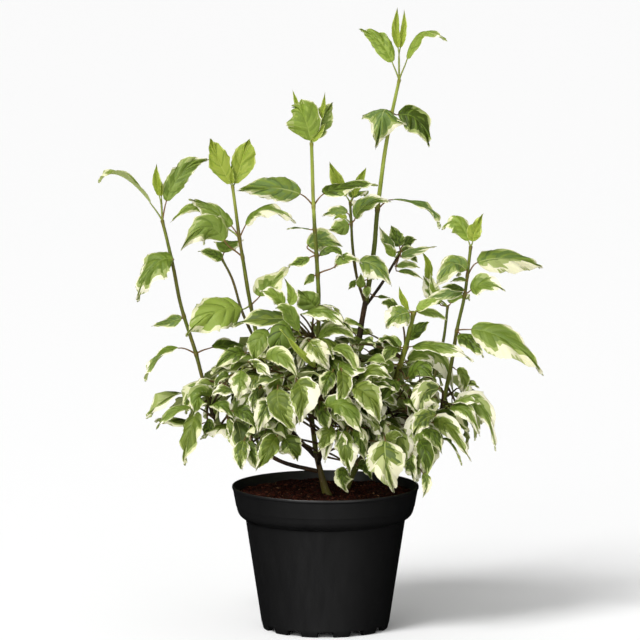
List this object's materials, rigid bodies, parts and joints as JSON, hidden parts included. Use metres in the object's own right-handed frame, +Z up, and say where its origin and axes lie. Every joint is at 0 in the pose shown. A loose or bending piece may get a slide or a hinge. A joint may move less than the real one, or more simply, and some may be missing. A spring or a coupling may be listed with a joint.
{
  "type": "variegated red-twig dogwood in a nursery pot",
  "caption": "Young flowering shrub with cream-edged leaves on upright green shoots, standing in a round black nursery pot.",
  "frame": {"origin": "centre of the ring of feet under the pot, at the level that it stands on", "axes": "+Z up through the pot and the shoots, -Y towards the front of the plant"},
  "size_m": [0.4549, 0.269, 0.63],
  "materials": {
    "pot_plastic": "satin",
    "potting_soil": "granular",
    "old_bark": "matte",
    "green_bark": "satin",
    "leaf": "satin",
    "young_leaf": "satin"
  },
  "bodies": {
    "root": {"pot": "pot_plastic", "soil": "potting_soil", "trunk": "old_bark", "second_stem": "old_bark", "low_bough": "old_bark", "left_bough": "old_bark", "front_bough": "old_bark", "rear_bough": "old_bark", "right_bough": "old_bark", "back_bough": "old_bark", "shoot_outer_left": "green_bark", "shoot_left": "green_bark", "shoot_left_rear": "green_bark", "shoot_centre": "green_bark", "shoot_tall": "green_bark", "shoot_rear": "green_bark", "shoot_outer_right": "green_bark", "shoot_right": "green_bark", "shoot_right_rear": "green_bark", "twig_centre": "green_bark", "twig_tall": "old_bark", "leaves_outer_left_1": "leaf", "leaves_outer_left_2": "leaf", "leaves_outer_left_3": "leaf", "leaves_outer_left_4": "leaf", "leaves_left_1": "young_leaf", "leaves_left_2": "leaf", "leaves_left_3": "leaf", "leaves_left_4": "leaf", "leaves_left_rear": "leaf", "leaves_centre_1": "young_leaf", "leaves_centre_2": "leaf", "leaves_centre_3": "leaf", "leaves_tall_1": "young_leaf", "leaves_tall_2": "leaf", "leaves_tall_3": "leaf", "leaves_tall_side": "leaf", "leaves_rear_1": "leaf", "leaves_rear_2": "leaf", "leaves_rear_3": "leaf", "leaves_outer_right_1": "young_leaf", "leaves_outer_right_2": "leaf", "leaves_outer_right_3": "leaf", "leaves_outer_right_4": "leaf", "leaves_right_1": "leaf", "leaves_right_2": "leaf", "leaves_right_rear": "leaf", "leaves_twig_centre": "leaf", "mass_outer_left": "leaf", "mass_left_front": "leaf", "mass_left_rear": "leaf", "mass_hang_left": "leaf", "mass_front_left": "leaf", "mass_front_right": "leaf", "mass_top": "leaf", "mass_rear_left": "leaf", "mass_rear_right": "leaf", "mass_right": "leaf", "mass_outer_right": "leaf", "mass_hang_right": "leaf"}
  },
  "joints": []
}
